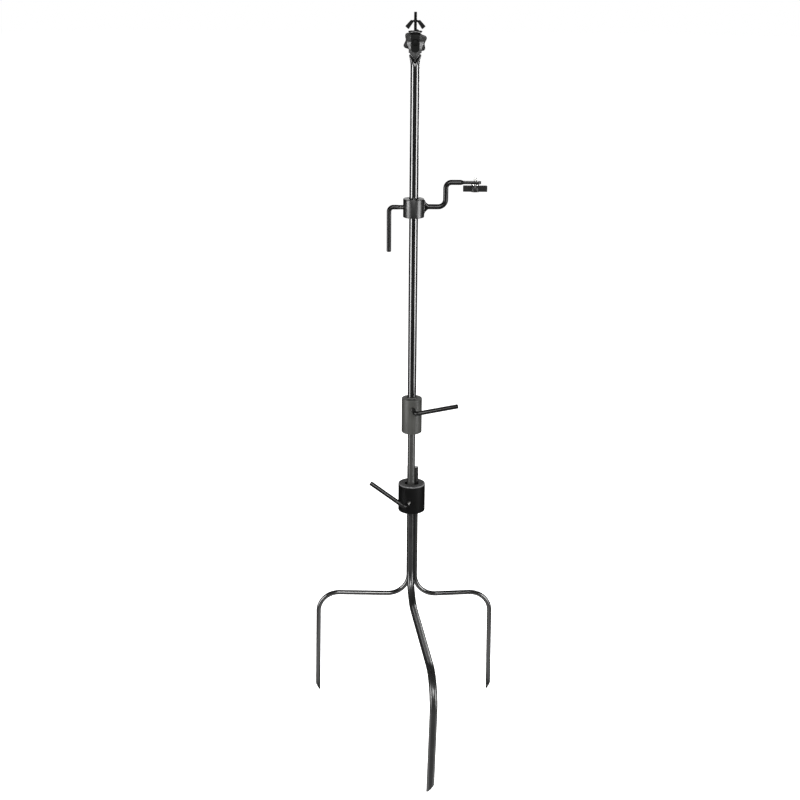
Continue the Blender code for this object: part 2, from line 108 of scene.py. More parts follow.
# ---------------------------------------------------------------- materials
class Nodes:
    """Short calls for building one material's node tree."""

    def __init__(self, name):
        self.material = bpy.data.materials.new(name)
        self.material.use_nodes = True
        self.tree = self.material.node_tree
        self.shader = self.tree.nodes["Principled BSDF"]
        self.coordinates = self.tree.nodes.new("ShaderNodeTexCoord")

    def link(self, source, target):
        self.tree.links.new(source, target)

    def noise(self, scale, detail=4.0, stretch=None):
        node = self.tree.nodes.new("ShaderNodeTexNoise")
        node.inputs["Scale"].default_value = scale
        node.inputs["Detail"].default_value = detail
        source = self.coordinates.outputs["Object"]
        if stretch:
            mapping = self.tree.nodes.new("ShaderNodeMapping")
            mapping.inputs["Scale"].default_value = stretch
            self.link(source, mapping.inputs["Vector"])
            source = mapping.outputs["Vector"]
        self.link(source, node.inputs["Vector"])
        return node.outputs["Fac"]

    def ramp(self, source, stops):
        """Colour ramp through (position, colour) stops; a grey may be one number."""
        node = self.tree.nodes.new("ShaderNodeValToRGB")
        ramp = node.color_ramp
        while len(ramp.elements) < len(stops):
            ramp.elements.new(0.5)
        for element, (position, colour) in zip(ramp.elements, stops):
            element.position = position
            rgb = colour if isinstance(colour, tuple) else (colour,) * 3
            element.color = (*rgb, 1)
        self.link(source, node.inputs["Fac"])
        return node.outputs["Color"]

    def mix(self, share, first, second):
        node = self.tree.nodes.new("ShaderNodeMix")
        node.data_type = "RGBA"
        self.link(share, node.inputs["Factor"])
        self.link(first, node.inputs["A"])
        self.link(second, node.inputs["B"])
        return node.outputs["Result"]

    def bump(self, source, strength, distance):
        node = self.tree.nodes.new("ShaderNodeBump")
        node.inputs["Strength"].default_value = strength
        node.inputs["Distance"].default_value = distance
        self.link(source, node.inputs["Height"])
        self.link(node.outputs["Normal"], self.shader.inputs["Normal"])

    def worn_edges(self, start, end):
        """White where the surface turns sharply outwards, broken up by noise."""
        geometry = self.tree.nodes.new("ShaderNodeNewGeometry")
        edges = self.ramp(geometry.outputs["Pointiness"], [(start, 0.0), (end, 1.0)])
        patches = self.ramp(self.noise(260, 5), [(0.50, 0.0), (0.68, 1.0)])
        node = self.tree.nodes.new("ShaderNodeMath")
        node.operation = "MULTIPLY"
        self.link(edges, node.inputs[0])
        self.link(patches, node.inputs[1])
        return node.outputs["Value"]


def enamel_gloss(nodes, roughness, specular, coat, peel):
    """Uneven gloss, handling marks and slight orange peel, as on every enamel here."""
    scuffs = nodes.noise(60, 8, (1, 1, 0.25))
    nodes.link(nodes.ramp(scuffs, [(0.3, roughness * 0.8), (0.75, roughness * 1.5)]),
               nodes.shader.inputs["Roughness"])
    nodes.bump(nodes.noise(900, 2), peel, 0.00012)
    nodes.shader.inputs["Specular IOR Level"].default_value = specular
    nodes.shader.inputs["Coat Weight"].default_value = coat
    nodes.shader.inputs["Coat Roughness"].default_value = 0.12


def paint(name, colour, dusty, roughness, specular=0.5, coat=0.25, peel=0.10):
    """Sprayed enamel, clouded with dust, with its sharp edges worn to steel."""
    nodes = Nodes(name)
    cloud = nodes.ramp(nodes.noise(18, 5), [(0.35, colour), (0.75, dusty)])
    bare = nodes.ramp(nodes.noise(90, 2), [(0.0, (0.16, 0.16, 0.15)), (1.0, (0.26, 0.25, 0.24))])
    nodes.link(nodes.mix(nodes.worn_edges(0.57, 0.66), cloud, bare), nodes.shader.inputs["Base Color"])
    enamel_gloss(nodes, roughness, specular, coat, peel)
    return nodes.material


def coated_steel(name, colour, rubbed, metallic, roughness, specular=0.5, grain=(1, 1, 0.04)):
    """Thin satin coating on turned or drawn steel, with fine lines along the part."""
    nodes = Nodes(name)
    lines = nodes.noise(700, 3, grain)
    base = nodes.ramp(nodes.noise(14, 6), [(0.35, colour), (0.7, rubbed)])
    darker = tuple(0.85 * channel for channel in colour)
    lighter = tuple(1.2 * channel for channel in rubbed)
    streak = nodes.ramp(lines, [(0.35, darker), (0.7, lighter)])
    blend = nodes.ramp(nodes.noise(33, 3), [(0.3, 0.25), (0.7, 0.6)])
    nodes.link(nodes.mix(blend, base, streak), nodes.shader.inputs["Base Color"])
    nodes.link(nodes.ramp(lines, [(0.2, roughness * 0.8), (0.8, roughness * 1.35)]),
               nodes.shader.inputs["Roughness"])
    nodes.shader.inputs["Metallic"].default_value = metallic
    nodes.shader.inputs["Specular IOR Level"].default_value = specular
    nodes.bump(lines, 0.12, 0.00008)
    return nodes.material


def height_share(nodes, bottom, top):
    """0 at the bottom height, 1 at the top height, and even in between."""
    separate = nodes.tree.nodes.new("ShaderNodeSeparateXYZ")
    nodes.link(nodes.coordinates.outputs["Object"], separate.inputs["Vector"])
    spread = nodes.tree.nodes.new("ShaderNodeMapRange")
    spread.inputs["From Min"].default_value = bottom
    spread.inputs["From Max"].default_value = top
    nodes.link(separate.outputs["Z"], spread.inputs["Value"])
    return spread.outputs["Result"]


def bare_metal_and_painted_light_by_height(name, greys, roughness, coat, stops, specular=0.5):
    """Black enamel and grey bare metal mixed by height: (height, share of bare metal) stops say where. The
    callers use it for bare metal, and also for painted shade and painted highlight.
    """
    nodes = Nodes(name)
    black = nodes.ramp(nodes.noise(18, 5), [(0.35, greys[0]), (0.75, greys[1])])
    bare = nodes.ramp(nodes.noise(300, 4), [(0.35, 0.07), (0.65, 0.22)])
    bottom, top = stops[0][0], stops[-1][0]
    shares = [((height - bottom) / (top - bottom), share) for height, share in stops]
    # share of grey metal by height; in the callers it also paints shade and highlight
    rubbed = nodes.ramp(height_share(nodes, bottom, top), shares)
    nodes.link(nodes.mix(rubbed, black, bare), nodes.shader.inputs["Base Color"])
    enamel_gloss(nodes, roughness, specular, coat, 0.10)
    return nodes.material


def metal(name, colour, dull, roughness):
    """Plated or turned metal with fine machining marks and faint tarnish."""
    nodes = Nodes(name)
    tarnish = nodes.ramp(nodes.noise(120, 6), [(0.3, dull), (0.65, colour)])
    nodes.link(tarnish, nodes.shader.inputs["Base Color"])
    marks = nodes.noise(1500, 2, (1, 1, 3))
    nodes.link(nodes.ramp(marks, [(0.2, roughness * 0.7), (0.8, roughness * 1.4)]),
               nodes.shader.inputs["Roughness"])
    nodes.shader.inputs["Metallic"].default_value = 1.0
    nodes.bump(marks, 0.15, 0.00005)
    return nodes.material


def moulded(name, colour, light, roughness, grain, specular=0.5):
    """Moulded plastic: fine even grain and slightly uneven gloss."""
    nodes = Nodes(name)
    shade = nodes.ramp(nodes.noise(40, 4), [(0.3, colour), (0.8, light)])
    nodes.link(shade, nodes.shader.inputs["Base Color"])
    nodes.link(nodes.ramp(nodes.noise(150, 4), [(0.3, roughness * 0.85), (0.7, roughness * 1.25)]),
               nodes.shader.inputs["Roughness"])
    nodes.bump(nodes.noise(2200, 2), grain, 0.00015)
    nodes.shader.inputs["Specular IOR Level"].default_value = specular
    return nodes.material


def lower_tube_look():
    """Dark grey drawn steel where the mast slides, black paint from the leg collar down."""
    nodes = Nodes("lower_tube_finish")
    lines = nodes.noise(700, 3, (1, 1, 0.03))
    steel = nodes.ramp(lines, [(0.3, (0.014, 0.014, 0.0133)), (0.7, (0.024, 0.0238, 0.0228))])
    black = nodes.ramp(nodes.noise(18, 5), [(0.35, (0.006, 0.006, 0.006)), (0.75, (0.012, 0.012, 0.012))])
    border = high("leg_collar") - 0.02
    bare = height_share(nodes, border, border + 0.004)
    nodes.link(nodes.mix(bare, black, steel), nodes.shader.inputs["Base Color"])
    nodes.link(nodes.ramp(lines, [(0.2, 0.20), (0.8, 0.32)]), nodes.shader.inputs["Roughness"])
    nodes.shader.inputs["Specular IOR Level"].default_value = 0.35
    nodes.bump(lines, 0.06, 0.00006)
    return nodes.material


def grey(value):
    return (value, value, value)


COLLAR_TOP = high("leg_collar")
BLACK_LEG = paint("leg_enamel", grey(0.0030), (0.0065, 0.0064, 0.0062), 0.17)
BLACK_SATIN = paint("satin_enamel", grey(0.0016), (0.0036, 0.0036, 0.0034), 0.32, 0.45, 0.0, 0.16)
BLACK_DULL = paint("dull_enamel", grey(0.0012), (0.0028, 0.0028, 0.0027), 0.42, 0.04, 0.0, 0.12)
BLACK_ROD = paint("rod_enamel", grey(0.0020), (0.0045, 0.0044, 0.0042), 0.26, 0.16, 0.0, 0.12)
# Grey bare metal on the paddle below the pivot; the black from just above the pivot is a painted shadow of
# the flange.
MAST_PAINT = bare_metal_and_painted_light_by_height("mast_enamel_painted_shade", (0.0025, 0.0055), 0.17, 0.25,
                          ((PIVOT.z - 0.032, 0.0), (PIVOT.z - 0.027, 0.10), (PIVOT.z - 0.015, 0.16),
                           (PIVOT.z - 0.012, 0.90), (PIVOT.z - 0.001, 0.90), (PIVOT.z + 0.002, 0.03)))
# Grey metal below the pivot and black above it: the black top is a painted shadow of the flange.
WASHER = bare_metal_and_painted_light_by_height("washer_painted_shade", (0.006, 0.010), 0.38, 0.0,
                      ((PIVOT.z - 0.020, 0.8), (PIVOT.z - 0.001, 1.0), (PIVOT.z + 0.002, 0.0)), 0.12)
# The grey band on the rounded top edge and the greyer top face are a painted highlight of the lamps on the
# rim.
COLLAR_PAINT = bare_metal_and_painted_light_by_height("collar_enamel_painted_highlight", (0.0012, 0.0028), 0.42, 0.0,
                            ((COLLAR_TOP - 0.0030, 0.0), (COLLAR_TOP - 0.0020, 0.6),
                             (COLLAR_TOP - 0.0006, 0.6), (COLLAR_TOP, 0.20)), 0.04)
GUNMETAL = coated_steel("gunmetal_coating", (0.019, 0.019, 0.0175), (0.028, 0.028, 0.0255), 0.0, 0.45, 0.25)
TUBE = lower_tube_look()
ZINC = metal("zinc_plating", (0.66, 0.66, 0.64), (0.46, 0.46, 0.45), 0.30)
STEEL = metal("blackened_steel", (0.085, 0.083, 0.080), (0.045, 0.045, 0.045), 0.34)
STUD_BLACK = metal("oxide_black_steel", (0.012, 0.012, 0.012), (0.006, 0.006, 0.006), 0.34)
BRASS = metal("turned_brass", (0.62, 0.46, 0.20), (0.42, 0.30, 0.13), 0.30)
NYLON = moulded("black_nylon", (0.012, 0.012, 0.012), (0.022, 0.022, 0.021), 0.50, 0.2)
KNOB = moulded("moulded_black", (0.0030, 0.0030, 0.0030), (0.0060, 0.0060, 0.0060), 0.36, 0.12, 0.15)
EVEN_GRAIN = (1, 1, 1)
WELD = coated_steel("painted_weld", grey(0.007), (0.016, 0.016, 0.015), 0.1, 0.22, 0.6, EVEN_GRAIN)
WELD_GREY = coated_steel("grey_weld", (0.019, 0.019, 0.0175), (0.030, 0.030, 0.027),
                         0.0, 0.36, 0.4, EVEN_GRAIN)


# ---------------------------------------------------------------- mesh helpers
def bent_path(corners, bends, steps=20):
    """Centre line through the corners, with an arc of the given radius at each inner one."""
    corners = [Vector(corner) for corner in corners]
    path = [corners[0]]
    for before, corner, after, bend in zip(corners, corners[1:], corners[2:], bends):
        back = (before - corner).normalized()
        ahead = (after - corner).normalized()
        half = back.angle(ahead) / 2
        centre = corner + (back + ahead).normalized() * (bend / sin(half))
        start = corner + back * (bend / tan(half)) - centre
        axis = back.cross(ahead).normalized()
        for step in range(steps + 1):
            path.append(centre + Matrix.Rotation((2 * half - pi) * step / steps, 3, axis) @ start)
    path.append(corners[-1])
    return path


def frames(path, side, closed=False):
    """Point, tangent and two cross directions along a path, carried round without twist."""
    result = []
    count = len(path)
    for index, point in enumerate(path):
        if closed:
            tangent = (path[(index + 1) % count] - path[index - 1]).normalized()
        else:
            tangent = (path[min(index + 1, count - 1)] - path[max(index - 1, 0)]).normalized()
        side = (side - tangent * side.dot(tangent)).normalized()
        result.append((point, tangent, side, tangent.cross(side)))
    return result


def ring(cross, radius, segments):
    """One round section. The radius is a number, or a function of the turn."""
    point, _tangent, side, other = cross
    result = []
    for index in range(segments):
        turn = 2 * pi * index / segments
        reach = radius(turn) if callable(radius) else radius
        result.append(point + (side * cos(turn) + other * sin(turn)) * reach)
    return result


def skin(name, rings, closed=False, smooth=35):
    """One surface over a row of rings, with flat caps, or joined end to end when closed."""
    mesh = bmesh.new()
    loops = [[mesh.verts.new(point) for point in points] for points in rings]
    following = loops[1:] + loops[:1] if closed else loops[1:]
    for near, far in zip(loops, following):
        for index in range(len(near)):
            after = (index + 1) % len(near)
            mesh.faces.new((near[index], near[after], far[after], far[index]))
    if not closed:
        mesh.faces.new(loops[0])
        mesh.faces.new(loops[-1])
    bmesh.ops.recalc_face_normals(mesh, faces=mesh.faces)
    data = bpy.data.meshes.new(name)
    mesh.to_mesh(data)
    mesh.free()
    data.shade_smooth()
    data.set_sharp_from_angle(angle=radians(smooth))
    piece = bpy.data.objects.new(name, data)
    bpy.context.scene.collection.objects.link(piece)
    return piece


def turned_rings(profile, start, axis, segments):
    axis = Vector(axis).normalized()
    side = axis.orthogonal().normalized()
    other = axis.cross(side)
    return [ring((Vector(start) + axis * along, axis, side, other), radius, segments)
            for radius, along in profile]


def turned(name, profile, start, axis=UP, segments=64, closed=False):
    """A turned piece: (radius, distance along the axis) pairs from its start."""
    return skin(name, turned_rings(profile, start, axis, segments), closed)


def rounded(points, corner, steps=4):
    """A closed outline of 2-D points with each corner rounded by the given radius."""
    result = []
    count = len(points)
    for index in range(count):
        here = Vector(points[index])
        back = (Vector(points[index - 1]) - here)
        ahead = (Vector(points[(index + 1) % count]) - here)
        half = back.angle(ahead) / 2
        reach = min(corner / tan(half), back.length * 0.45, ahead.length * 0.45)
        start, end = here + back.normalized() * reach, here + ahead.normalized() * reach
        for step in range(steps + 1):
            share = step / steps
            result.append(tuple(start * (1 - share) ** 2 + here * 2 * share * (1 - share) + end * share ** 2))
    return result


def slab(name, outline, front, back, origin):
    """An outline of (x, z) points about the origin, drawn through from y = front to y = back."""
    rings = [[origin + Vector((x, y, z)) for x, z in outline] for y in (front, back)]
    return skin(name, rings)


def bevel(piece, width, segments=3, angle=40):
    modifier = piece.modifiers.new("rounded_edges", "BEVEL")
    modifier.width = width
    modifier.segments = segments
    modifier.limit_method = "ANGLE"
    modifier.angle_limit = radians(angle)
    modifier.harden_normals = False
    return piece


def combine(piece, tool, operation="DIFFERENCE"):
    """Cuts the tool from the piece, or joins it to the piece, and deletes the tool."""
    modifier = piece.modifiers.new("combine", "BOOLEAN")
    modifier.operation = operation
    modifier.solver = "EXACT"
    modifier.object = tool
    graph = bpy.context.evaluated_depsgraph_get()
    data = bpy.data.meshes.new_from_object(piece.evaluated_get(graph))
    piece.modifiers.clear()
    piece.data = data
    bpy.data.objects.remove(tool, do_unlink=True)
    data.shade_smooth()
    data.set_sharp_from_angle(angle=radians(35))
    return piece


def dress(piece, body, slot, material, *nodes):
    """Gives a piece its material and its body, and says which CAD nodes it stands for. The slot is not used.
    """
    piece.data.materials.clear()
    piece.data.materials.append(material)
    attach(piece, body)
    if nodes:
        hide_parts(*nodes)
    return piece


def thread_wave(along, turn, pitch):
    """0 at the root and 1 at the flattened crest of a right-hand thread."""
    share = (along / pitch - turn / (2 * pi)) % 1
    return min(1, 1.35 * (1 - abs(2 * share - 1)))


def threaded(name, radius, length, start, axis, pitch, depth, segments=40, run_in=0.0012):
    """A screw thread as real geometry, chamfered at its far end."""
    axis = Vector(axis).normalized()
    side = axis.orthogonal().normalized()
    other = axis.cross(side)
    count = int(length / pitch * 8)
    rings = []
    for step in range(count + 1):
        along = length * step / count
        fade = min(1, (length - along) / run_in)
        cross = (Vector(start) + axis * along, axis, side, other)

        def reach(turn, along=along, fade=fade):
            return radius - depth * (1 - thread_wave(along, turn, pitch) * fade) - 0.0002 * (1 - fade)

        rings.append(ring(cross, reach, segments))
    return skin(name, rings, smooth=60)


def weld_bead(name, path, radius, ripples, outward):
    """A rippled weld bead along a closed path."""
    count = len(path)
    rings = []
    crosses = frames(path, outward, True)
    for index, cross in enumerate(crosses):
        wave = 1 + 0.16 * sin(2 * pi * ripples * index / count) + 0.07 * sin(2 * pi * 5 * index / count)
        rings.append(ring(cross, radius * wave, 14))
    return skin(name, rings, True, 60)


def circle_path(centre, radius, count):
    return [centre + Vector((cos(2 * pi * index / count), sin(2 * pi * index / count), 0)) * radius
            for index in range(count)]


# ---------------------------------------------------------------- base
def oblique(points, cross, towards, slope):
    """The last ring of a leg, slid along it so that its end is cut at a slope to a point."""
    centre, tangent = cross[:2]
    return [point + tangent * slope * (point - centre).dot(towards) for point in points]


def make_lower_tube():
    """The lower tube, bent forward at its foot to be the front leg, and cut hollow to a point."""
    segments = 56
    end = LOWER_RADIUS * FRONT_SPIKE
    corners = [(0, 0, high("lower_tube")), (0, 0, BAR_HEIGHT),
               (0.050, -0.397, BAR_HEIGHT), (0.044, -0.397, end)]
    path = [point + MAST for point in bent_path(corners, (FRONT_BEND, FRONT_BEND), 24)]
    crosses = frames(path, Vector((1, 0, 0)))
    outer = [ring(cross, LOWER_RADIUS, segments) for cross in crosses]
    inner = [ring(cross, LOWER_RADIUS - LOWER_WALL, segments) for cross in crosses]
    point_side = Vector((-1, 0, 0))
    outer[-1] = oblique(outer[-1], crosses[-1], point_side, FRONT_SPIKE)
    inner[-1] = oblique(inner[-1], crosses[-1], point_side, FRONT_SPIKE)
    tube = skin("lower_tube_and_front_leg", outer + inner[::-1], True)
    dress(bevel(tube, 0.0003, 2, 50), "base", "dark_paint", TUBE, "lower_tube")


def make_side_leg(name, node, joint, corner, tip, point_side):
    """A solid rod from the leg collar, bent out and then down to its spike."""
    rod = Vector(JOINTS[joint]["pos_m"]) - MAST
    end = ROD_RADIUS * SIDE_SPIKE
    corners = [(*rod.xy, high(node)), (*rod.xy, BAR_HEIGHT), (*corner, BAR_HEIGHT), (*tip, end)]
    path = [point + MAST for point in bent_path(corners, (SIDE_BEND, SIDE_BEND), 24)]
    crosses = frames(path, Vector((0, 1, 0)))
    rings = [ring(cross, ROD_RADIUS, 40) for cross in crosses]
    rings[-1] = oblique(rings[-1], crosses[-1], point_side, SIDE_SPIKE)
    leg = skin(name, rings)
    dress(bevel(leg, 0.0005, 3, 50), JOINTS[joint]["child"], "black_paint", BLACK_LEG, node)


def collar_profile(bore, radius, bottom, top, bore_bevel, edge, steps=5):
    """Closed profile of a collar whose outer edges are rounded over."""
    profile = [(bore + bore_bevel, bottom)]
    for step in range(steps + 1):
        turn = pi / 2 * step / steps
        profile.append((radius - edge * (1 - sin(turn)), bottom + edge * (1 - cos(turn))))
    for step in range(steps + 1):
        turn = pi / 2 * step / steps
        profile.append((radius - edge * (1 - cos(turn)), top - edge * (1 - sin(turn))))
    profile += [(bore + bore_bevel, top), (bore, top - bore_bevel), (bore, bottom + bore_bevel)]
    return profile


def screw_of(joint):
    """Where a clamp screw's axis leaves the mast's axis, and which way it points."""
    return Vector(JOINTS[joint]["pos_m"]), Vector(JOINTS[joint]["axis"]).normalized()


def lever_way(joint, side, lean):
    """The direction of a lever square to its screw: to the left or right, and up by its lean."""
    _start, out = screw_of(joint)
    return UP.cross(out) * side * cos(lean) + UP * sin(lean)


def drill(collar, joint, reach):
    """Cuts the clamp screw's hole through one side of the collar."""
    start, out = screw_of(joint)
    radius = HANDLE_RADIUS + 0.0002
    hole = turned("hole", [(radius, 0.003), (radius, reach + 0.004)], start, out, 40)
    return combine(collar, hole)


def make_leg_collar():
    centre = MAST + LEG_COLLAR_CENTRE
    bottom = low("leg_collar")
    profile = collar_profile(LEG_COLLAR_BORE, LEG_COLLAR_RADIUS, bottom, COLLAR_TOP, 0.0008, 0.0024)
    collar = turned("leg_clamp_collar", profile, centre, segments=128, closed=True)
    drill(collar, "leg_clamp_turn", LEG_COLLAR_RADIUS + 0.008)
    dress(bevel(collar, 0.0004, 2, 50), "base", "black_paint", COLLAR_PAINT, "leg_collar")


def make_handle(name, node, joint, lever, clamped, collar_face):
    """Bent clamp handle: a threaded screw that turns through a round bend into a plain lever."""
    start, out = screw_of(joint)
    thread_end = collar_face + 0.010
    elbow = start + out * HANDLE_REACH
    path = bent_path([start + out * thread_end, elbow, elbow + lever * LEVER_LENGTH], (HANDLE_BEND,), 24)
    crosses = frames(path, out.cross(lever))
    rings = [ring(cross, HANDLE_RADIUS, 40) for cross in crosses[:-1]]
    tip, tangent, side, other = crosses[-1]
    for step in range(7):
        turn = pi / 2 * step / 6
        inset = 0.0018
        cross = (tip - tangent * inset * (1 - sin(turn)), tangent, side, other)
        rings.append(ring(cross, HANDLE_RADIUS - inset * (1 - cos(turn)), 40))
    dress(skin(name, rings), JOINTS[joint]["child"], "black_paint", BLACK_ROD, node)
    screw = threaded(name + "_thread", HANDLE_RADIUS, thread_end - clamped - GAP, start + out * thread_end,
                     -out, CLAMP_PITCH, 0.0006)
    dress(screw, JOINTS[joint]["child"], "black_paint", STEEL)


# ---------------------------------------------------------------- mast
def make_mast():
    """Tube whose top is pressed flat, with a V-shaped crease where the flat meets the round."""
    segments = 96
    half_width, half_thick = PADDLE_HALF
    bottom = low("mast_tube")
    bore = MAST_RADIUS - MAST_WALL

    def section(height, spread, radius=MAST_RADIUS):
        points = []
        for index in range(segments):
            turn = 2 * pi * index / segments
            side = cos(turn)
            # the front and back fold in first, low down, and the edges last
            begin = CRIMP[0] + (CRIMP[1] - CRIMP[0]) * 0.75 * abs(side)
            press = max(0, min(1, (height - begin) / (0.30 * (CRIMP[1] - CRIMP[0]))))
            press = press * press * (3 - 2 * press)
            widen = max(0, min(1, (height - CRIMP[0]) / (CRIMP[1] - CRIMP[0])))
            widen = widen * widen * (3 - 2 * widen)
            flat_y = half_thick * max(-1, min(1, 1.7 * sin(turn)))
            flat_x = spread * max(-1, min(1, 1.12 * side))
            x = (1 - widen) * radius * side + widen * flat_x
            y = (1 - press) * radius * sin(turn) * (1 - 0.55 * widen) + press * flat_y
            points.append(MAST + Vector((x, y, height)))
        return points

    round_part = ((CRIMP[0] - 0.004, bore), (bottom, bore),
                  (bottom, MAST_RADIUS), (CRIMP[0] - 0.001, MAST_RADIUS))
    plain = [section(height, half_width, radius) for height, radius in round_part]
    steps = 26
    pressed = [section(CRIMP[0] + (CRIMP[1] - CRIMP[0]) * 1.25 * step / steps, half_width)
               for step in range(steps + 1)]
    top = []
    for step in range(21):
        turn = radians(86) * step / 20
        top.append(section(PIVOT.z + half_width * sin(turn), half_width * cos(turn)))
    mast = skin("mast_upper_tube", plain + pressed + top, smooth=40)
    combine(mast, turned("hole", [(BOLT_HOLE, -0.01), (BOLT_HOLE, 0.01)], PIVOT, (0, 1, 0), 40))
    dress(mast, "mast", "black_paint", MAST_PAINT, "mast_tube")


def make_mast_collar():
    bottom, top = low("mast_collar"), high("mast_collar")
    profile = collar_profile(LOWER_RADIUS + GAP, COLLAR_RADIUS, bottom, top, 0.0006, 0.0014)
    collar = turned("mast_clamp_collar", profile, MAST, segments=112, closed=True)
    drill(collar, "mast_clamp_turn", COLLAR_RADIUS + 0.002)
    dress(bevel(collar, 0.0004, 2, 50), "mast", "gunmetal", GUNMETAL, "mast_collar")
    seam = circle_path(MAST + UP * top, MAST_RADIUS + 0.0004, 240)
    dress(weld_bead("mast_collar_weld", seam, 0.0019, 38, Vector((1, 0, 0))), "mast", "gunmetal", WELD_GREY)


# ---------------------------------------------------------------- side arm
def make_arm_collar():
    bottom, top = low("arm_collar"), high("arm_collar")
    profile = collar_profile(LINER_RADIUS + GAP, COLLAR_RADIUS, bottom, top, 0.0006, 0.0014)
    collar = turned("arm_clamp_collar", profile, MAST, segments=112, closed=True)
    drill(collar, "arm_clamp_turn", COLLAR_RADIUS + 0.002)
    dress(bevel(collar, 0.0004, 2, 50), "arm", "black_paint", BLACK_SATIN, "arm_collar")
    bottom, top = low("arm_liner"), high("arm_liner")
    profile = collar_profile(MAST_RADIUS + 0.0002, LINER_RADIUS, bottom, top, 0.0002, 0.0004)
    bush = turned("arm_collar_bush", profile, MAST, segments=96, closed=True)
    dress(bush, "arm_bush", "nylon", NYLON, "arm_liner")


def pressed_ring(cross, radius, half_width, half_thick, press, segments, sharp=5.0):
    """A round section pressed flat: press 0 is the round rod, press 1 a bar with rounded corners."""
    point, _tangent, side, other = cross
    result = []
    for index in range(segments):
        turn = 2 * pi * index / segments
        reach = (abs(cos(turn)) ** sharp + abs(sin(turn)) ** sharp) ** (-1 / sharp)
        across = (1 - press) * radius * cos(turn) + press * half_width * reach * cos(turn)
        through = (1 - press) * radius * sin(turn) + press * half_thick * reach * sin(turn)
        result.append(point + side * across + other * through)
    return result


def make_arm_rod():
    """Z-shaped rod with a fish-tail at its collar and a flattened spade at its end."""
    segments = 48
    x_axis, y_axis = Vector((1, 0, 0)), Vector((0, 1, 0))
    face = COLLAR_RADIUS - 0.0006
    begin = MAST + Vector((face, 0, ARM_LOW))
    corners = [(COLLAR_RADIUS, 0, ARM_LOW), (ARM_RISER_X, 0, ARM_LOW), (ARM_RISER_X, 0, ARM_HIGH),
               (0.099, 0, ARM_HIGH)]
    path = [point + MAST for point in bent_path(corners, (0.016, 0.012), 20)]
    crosses = frames(path, y_axis)
    rings = []
    for step in range(9):
        share = step / 8
        press = 1 - share * share * (3 - 2 * share)
        cross = (begin + x_axis * PRESS_LENGTH * share, x_axis, y_axis, UP)
        rings.append(pressed_ring(cross, ROD_RADIUS, *FISH_TAIL_HALF, press, segments, 3.2))
    rings += [ring(cross, ROD_RADIUS, segments) for cross in crosses[1:]]
    point, tangent, side, other = crosses[-1]
    for step in range(1, 9):
        share = step / 8
        press = share * share * (3 - 2 * share)
        cross = (point + tangent * PRESS_LENGTH * share, tangent, side, other)
        rings.append(pressed_ring(cross, ROD_RADIUS, *SPADE_HALF, press, segments))
    for step in range(13):
        turn = radians(86) * step / 12
        reach = ARM_END_X - SPADE_HALF[0] * (1 - sin(turn))
        cross = (MAST + Vector((reach, 0, ARM_HIGH)), tangent, side, other)
        thick = SPADE_HALF[1] * (1 if step < 10 else 1 - 0.18 * (step - 9) / 3)
        rings.append(pressed_ring(cross, 0, SPADE_HALF[0] * cos(turn), thick, 1, segments))
    rod = skin("arm_bent_rod", rings, smooth=40)
    eye = MAST + Vector((ARM_SCREW_X, 0, ARM_HIGH))
    combine(rod, turned("hole", [(0.0035, -0.01), (0.0035, 0.01)], eye, UP, 40))
    dress(rod, "arm", "black_paint", BLACK_ROD, "arm_rod")

    seam = []
    for index in range(200):
        turn = 2 * pi * index / 200
        y, z = 0.0042 * cos(turn), 0.0134 * sin(turn)
        seam.append(MAST + Vector((sqrt(COLLAR_RADIUS ** 2 - y * y), y, ARM_LOW + z)))
    dress(weld_bead("arm_weld", seam, 0.0013, 30, x_axis), "arm", "black_paint", WELD)


def make_arm_screw():
    """Camera screw, washer and wing knob at the end of the side arm."""
    here = MAST + Vector((ARM_SCREW_X, 0, 0))
    base = low("arm_camera_screw")
    screw = threaded("arm_camera_thread", STUD_RADIUS, high("arm_camera_screw") - base, here + UP * base, UP,
                     THREAD_PITCH, 0.0005)
    dress(screw, "arm_screw", "zinc", ZINC, "arm_camera_screw")
    bottom, top = low("arm_screw_washer"), high("arm_screw_washer")
    profile = collar_profile(STUD_RADIUS + GAP, 0.0085, bottom, top, 0.0002, 0.0004, 3)
    dress(turned("arm_washer", profile, here, closed=True), "arm_screw", "zinc", ZINC, "arm_screw_washer")

    bottom, top = low("arm_wing_knob"), high("arm_wing_knob")
    floor = base - 0.0003
    profile = [(0.0086, bottom), (0.0094, bottom + 0.0003), (0.0096, bottom + 0.0010), (0.0080, top - 0.0010),
               (0.0076, top - 0.0002), (0.0072, top), (STUD_RADIUS + GAP, top), (STUD_RADIUS + GAP, floor)]
    knob = turned("arm_wing_knob_body", profile, here, segments=72)
    for side in (-1, 1):
        root, tip = side * 0.0046, side * WING_REACH
        outline = rounded([(root, bottom + 0.0002), (tip, bottom + 0.0002),
                           (tip, top - 0.0012), (root, top - 0.0012)], 0.0016)
        combine(knob, slab("wing", outline, -0.0022, 0.0022, here), "UNION")
    dress(bevel(knob, 0.0007, 3, 50), "arm_screw", "black_paint", KNOB, "arm_wing_knob")


